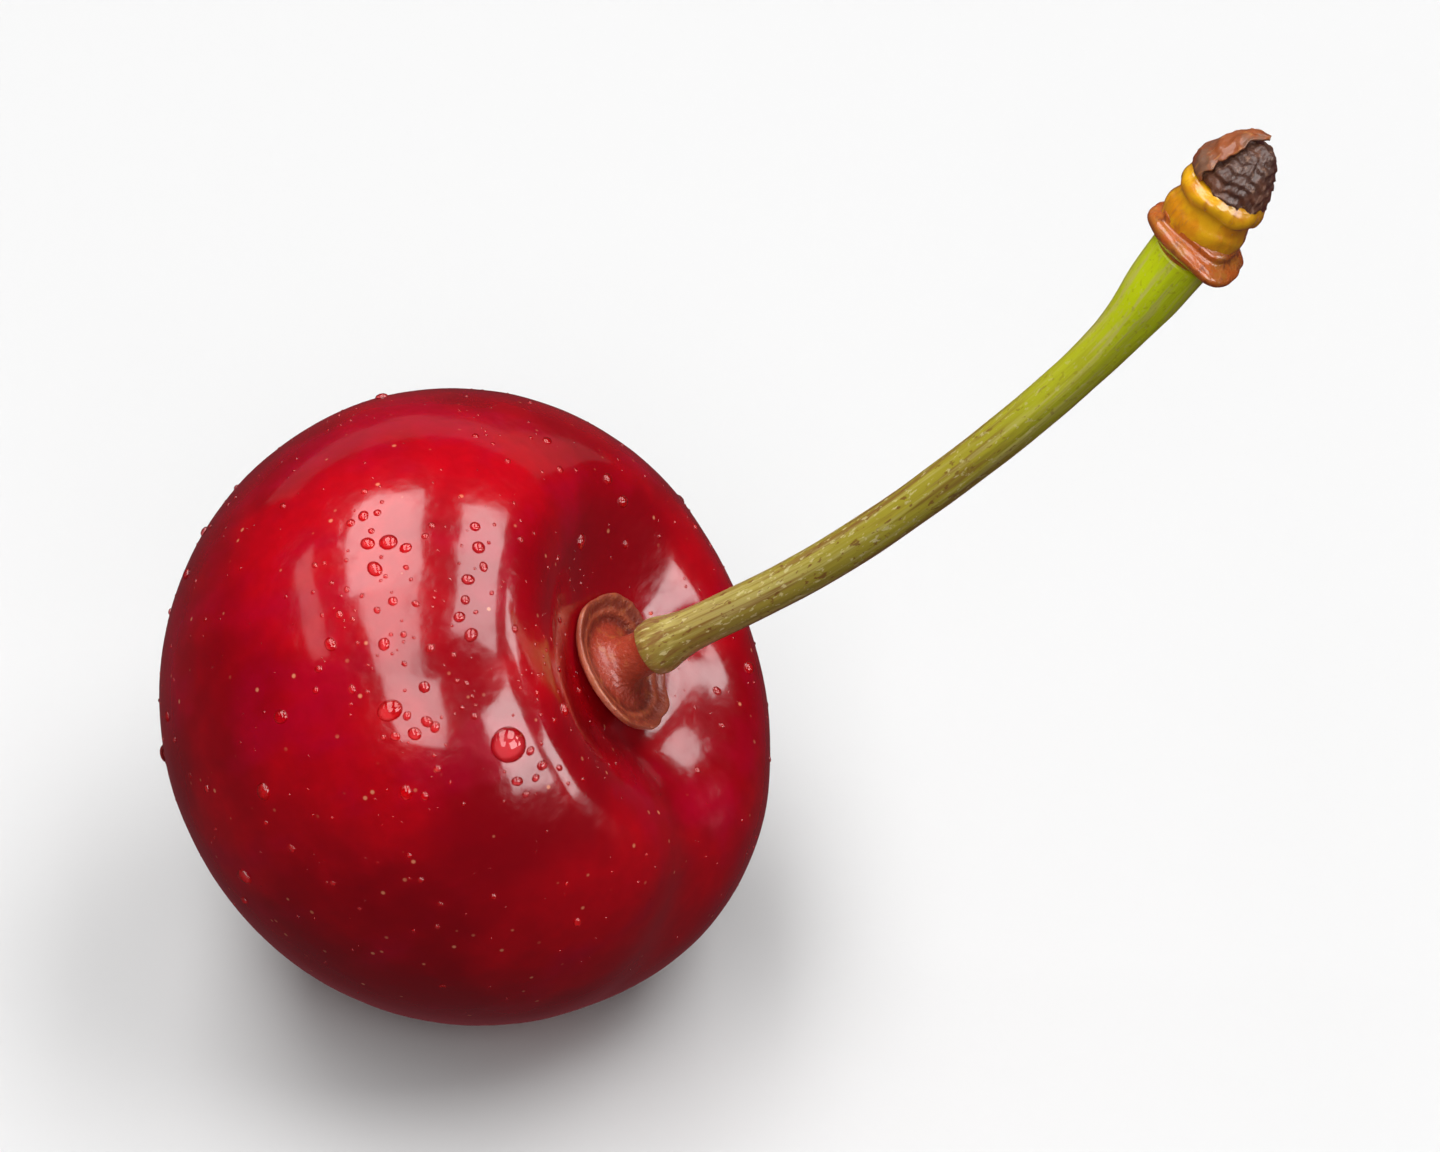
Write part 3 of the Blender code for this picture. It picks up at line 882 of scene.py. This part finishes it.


# ---- water ----

# Larger beads, listed one by one: where each lies as seen from the camera, right, up and
# towards it as parts of the fruit's radius, and its radius in millimetres
BEADS = (
    (0.150, -0.113, 0.80), (-0.217, -0.004, 0.52), (-0.113, 0.069, 0.26), (-0.105, -0.038, 0.26),
    (-0.142, -0.075, 0.30), (-0.165, -0.020, 0.20), (-0.080, -0.055, 0.24), (-0.235, 0.198, 0.28),
    (-0.266, 0.427, 0.36), (-0.227, 0.511, 0.40), (-0.304, 0.588, 0.26), (-0.342, 0.565, 0.20),
    (-0.289, 0.504, 0.32), (-0.174, 0.496, 0.26), (-0.262, 0.600, 0.18), (-0.210, 0.330, 0.22),
    (0.040, 0.580, 0.24), (0.052, 0.515, 0.30), (0.069, 0.455, 0.22), (0.020, 0.410, 0.28),
    (0.012, 0.345, 0.22), (-0.006, 0.290, 0.26), (0.031, 0.235, 0.32), (0.261, -0.183, 0.24),
    (0.177, -0.229, 0.24), (0.222, -0.135, 0.20), (0.238, -0.221, 0.18), (0.205, -0.270, 0.16),
    (-0.395, 0.195, 0.30), (-0.370, 0.285, 0.20), (-0.430, 0.120, 0.18), (-0.330, 0.060, 0.20),
)


# How far scattered drops keep from each other, as a share of their radii, and from the
# stalk's axis, in radians
DROP_SPACING, STALK_CLEARANCE = 1.25, 0.33
ROUGH_RADIUS = 14.0                                     # the fruit's, in millimetres


def view_directions():
    """The camera's right, up and back directions in the world."""
    right = Vector((1.0, 0.0, 0.0))
    up = Vector((0.0, math.sin(CAMERA_ELEVATION), math.cos(CAMERA_ELEVATION)))
    back = Vector((0.0, -math.cos(CAMERA_ELEVATION), math.sin(CAMERA_ELEVATION)))
    return right, up, back


def add_bead(bm, tree, direction, radius, squash, sides, rng):
    """One drop, a flattened ball half sunk in the skin, at a direction from the fruit's centre."""
    start = FRUIT_CENTRE + direction * 40 * MM
    point, normal, _, _ = tree.ray_cast(start, -direction)
    if point is None:
        return False
    stretch = rng.uniform(0.88, 1.14)
    turn = Matrix.Rotation(rng.uniform(0.0, math.tau), 4, "Z")
    size = Matrix.Diagonal((radius * stretch, radius / stretch, radius * squash, 1.0))
    place = frame_along(normal, Vector((0.31, 0.52, -0.79)), point - normal * radius * 0.06)
    bmesh.ops.create_uvsphere(bm, u_segments=sides, v_segments=sides // 2, radius=1.0,
                              matrix=place @ turn @ size)
    return True


def finish_water(bm, name, material):
    """Water lets the lamps through to the skin under it."""
    piece = finish_piece(bm, name, material)
    piece.visible_shadow = False


class CHERRY_OT_water(Operator):
    """Scatter water on the skin: large beads one by one, then smaller beads and fine specks"""
    bl_idname = "cherry.water"
    bl_label = "Water"

    def execute(self, context):
        water = context.scene.cherry.water
        skin = bpy.data.objects["fruit_skin"]
        tree = BVHTree.FromObject(skin, context.evaluated_depsgraph_get())
        rng = random.Random(water.seed)
        material = water_material()
        taken = []

        bm = bmesh.new()
        right, up, back = view_directions()
        for x, y, size in BEADS:
            direction = right * x + up * y + back * math.sqrt(1.0 - x * x - y * y)
            add_bead(bm, tree, direction, size * MM, 0.66, 24, rng)
            taken.append((direction, size))
        finish_water(bm, "water_drops", material)

        bm = bmesh.new()
        self.scatter(bm, tree, rng, taken, water.beads, 0.14, 0.40, 14)
        upper = back * 0.95 + up * 0.25 - right * 0.10
        self.scatter(bm, tree, rng, taken, water.mist, 0.07, 0.19, 10, upper, 0.26)
        finish_water(bm, "water_beads", material)
        bm = bmesh.new()
        self.scatter(bm, tree, rng, taken, water.specks, 0.045, 0.12, 8)
        finish_water(bm, "water_specks", material)
        return {"FINISHED"}

    def scatter(self, bm, tree, rng, taken, count, least, most, sides, about=None, spread=1.0):
        """Drops of random size that keep clear of each other and of the fruit's underside."""
        about = about or Vector()
        stalk = STEM_AXIS.normalized()
        made = 0
        for _ in range(count * 30):
            if made == count:
                break
            stray = Vector((rng.gauss(0, 1), rng.gauss(0, 1), rng.gauss(0, 1)))
            direction = (about + stray * spread).normalized()
            size = least + (most - least) * rng.random() ** 2.2
            low = direction.z < -0.55 + 0.5 * rng.random()
            if low or direction.angle(stalk) < STALK_CLEARANCE:
                continue
            touches = [direction.angle(other) * ROUGH_RADIUS <= DROP_SPACING * (size + extent)
                       for other, extent in taken]
            if any(touches):
                continue
            if add_bead(bm, tree, direction, size * MM, rng.uniform(0.50, 0.72), sides, rng):
                taken.append((direction, size))
                made += 1


# ---- stage ----

# Lamps: where each stands from the fruit's centre, its width and length, and its share of
# the lamps' radiance. The softboxes hang level overhead; the cards only show in reflections,
# and the fill in none. Those that aren't level face the fruit.
SOFTBOXES = (
    ((-0.25, 0.28, 0.80), 0.46, 0.64, 1.15),
    ((-0.22, -0.34, 0.80), 0.38, 0.60, 0.95),
    ((0.44, 0.10, 0.80), 0.48, 0.84, 1.15),
    ((-0.11, -1.02, 0.80), 0.50, 0.76, 1.10),
)
FILL = ((0.35, -0.95, 0.70), 0.50, 0.50, 0.50)
LEVEL_CARDS = (
    ((-0.90, 0.05, 0.80), 0.24, 0.90, 0.30),
)
FACING_CARDS = (
    ((0.66, -0.60, 0.45), 0.56, 0.54, 1.5),
    ((0.86, 0.02, 0.60), 0.24, 0.20, 1.5),
    ((1.02, -0.20, 0.22), 0.26, 0.22, 1.5),
    ((0.0, 1.30, 0.34), 2.0, 0.40, 0.03),
)


class CHERRY_OT_stage(Operator):
    """Set the floor, the strip lamps, the room light and the camera"""
    bl_idname = "cherry.stage"
    bl_label = "Stage"

    def execute(self, context):
        stage = context.scene.cherry.stage
        self.add_floor(stage)
        for lamp in SOFTBOXES:
            self.add_lamp(stage, *lamp)
        for lamp in LEVEL_CARDS:
            self.add_lamp(stage, *lamp, shades=False)
        for lamp in FACING_CARDS:
            self.add_lamp(stage, *lamp, shades=False, facing=True)
        self.add_lamp(stage, *FILL, shines=False, facing=True)
        context.scene.world = self.room(stage)
        self.add_camera(context.scene)
        context.scene.view_settings.view_transform = "Standard"
        return {"FINISHED"}

    def add_lamp(self, stage, place, width, length, share, shades=True, shines=True, facing=False):
        """One rectangular lamp, which may light surfaces, show in reflections or both."""
        data = bpy.data.lights.new("lamp", "AREA")
        data.shape = "RECTANGLE"
        data.size, data.size_y = width, length
        data.energy = stage.radiance * share * math.pi * width * length
        lamp = bpy.data.objects.new("lamp", data)
        lamp.location = FRUIT_CENTRE + Vector(place)
        lamp.visible_camera = False
        lamp.visible_diffuse = shades
        lamp.visible_glossy = shines
        if facing:
            lamp.rotation_euler = Vector(place).to_track_quat("Z", "Y").to_euler()
        bpy.context.scene.collection.objects.link(lamp)

    def room(self, stage):
        """Even light from all sides, white behind the scene, dim and red in reflections."""
        world = bpy.data.worlds.new("room")
        world.use_nodes = True
        rays = add_node(world, "ShaderNodeLightPath", {})
        glossy = rays.outputs["Is Glossy Ray"]
        seen = spread_of(world, rays.outputs["Is Camera Ray"], stage.ambient, BACKDROP_WHITE)
        place = add_node(world, "ShaderNodeTexCoord", {}).outputs["Generated"]
        height = add_node(world, "ShaderNodeSeparateXYZ", {0: place}).outputs["Z"]
        dim = add_node(world, "ShaderNodeMapRange", {"Value": height, **GLOSSY_ROOM})
        background = world.node_tree.nodes["Background"]
        links = world.node_tree.links
        strength = spread_of(world, glossy, seen, dim.outputs["Result"])
        links.new(strength, background.inputs["Strength"])
        links.new(mix(world, glossy, WHITE, GLOSSY_TINT), background.inputs["Color"])
        return world

    def add_floor(self, stage):
        bm = bmesh.new()
        bmesh.ops.create_circle(bm, cap_ends=True, segments=64, radius=FLOOR_RADIUS)
        mesh = bpy.data.meshes.new("floor")
        bm.to_mesh(mesh)
        bm.free()
        mesh.materials.append(floor_material(stage.floor))
        floor = bpy.data.objects.new("floor", mesh)
        bpy.context.scene.collection.objects.link(floor)
        floor.visible_glossy = False
        floor.visible_diffuse = False

    def add_camera(self, scene):
        right, up, back = view_directions()
        data = bpy.data.cameras.new("camera")
        data.lens = CAMERA_LENS
        data.clip_start = 0.01
        camera = bpy.data.objects.new("camera", data)
        place = Matrix((right, up, back)).transposed().to_4x4()
        place.translation = FRUIT_CENTRE + CAMERA_AIM + back * CAMERA_DISTANCE
        camera.matrix_world = place
        scene.collection.objects.link(camera)
        scene.camera = camera


# ---- panel and registration ----

STEPS = ("stage", "fruit", "collar", "stalk", "knob", "cap", "water")


class CHERRY_PT_panel(Panel):
    """The cherry's pieces, one button each"""
    bl_idname = "CHERRY_PT_panel"
    bl_label = "Cherry"
    bl_space_type = "VIEW_3D"
    bl_region_type = "UI"
    bl_category = "Cherry"

    def draw(self, context):
        for step in STEPS:
            self.layout.operator(f"cherry.{step}")
        for group in ("fruit", "stalk", "knob", "water", "stage"):
            box = self.layout.box()
            settings = getattr(context.scene.cherry, group)
            for name in settings.__annotations__:
                box.prop(settings, name)


CLASSES = (
    FruitSettings, StalkSettings, KnobSettings, WaterSettings, StageSettings, CherrySettings,
    CHERRY_OT_fruit, CHERRY_OT_collar, CHERRY_OT_stalk, CHERRY_OT_knob, CHERRY_OT_cap,
    CHERRY_OT_water, CHERRY_OT_stage, CHERRY_PT_panel,
)


def register():
    for cls in CLASSES:
        bpy.utils.register_class(cls)
    bpy.types.Scene.cherry = PointerProperty(type=CherrySettings)


def unregister():
    del bpy.types.Scene.cherry
    for cls in reversed(CLASSES):
        bpy.utils.unregister_class(cls)


def main():
    register()
    for step in STEPS:
        getattr(bpy.ops.cherry, step)()
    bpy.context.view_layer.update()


if __name__ == "__main__":
    main()
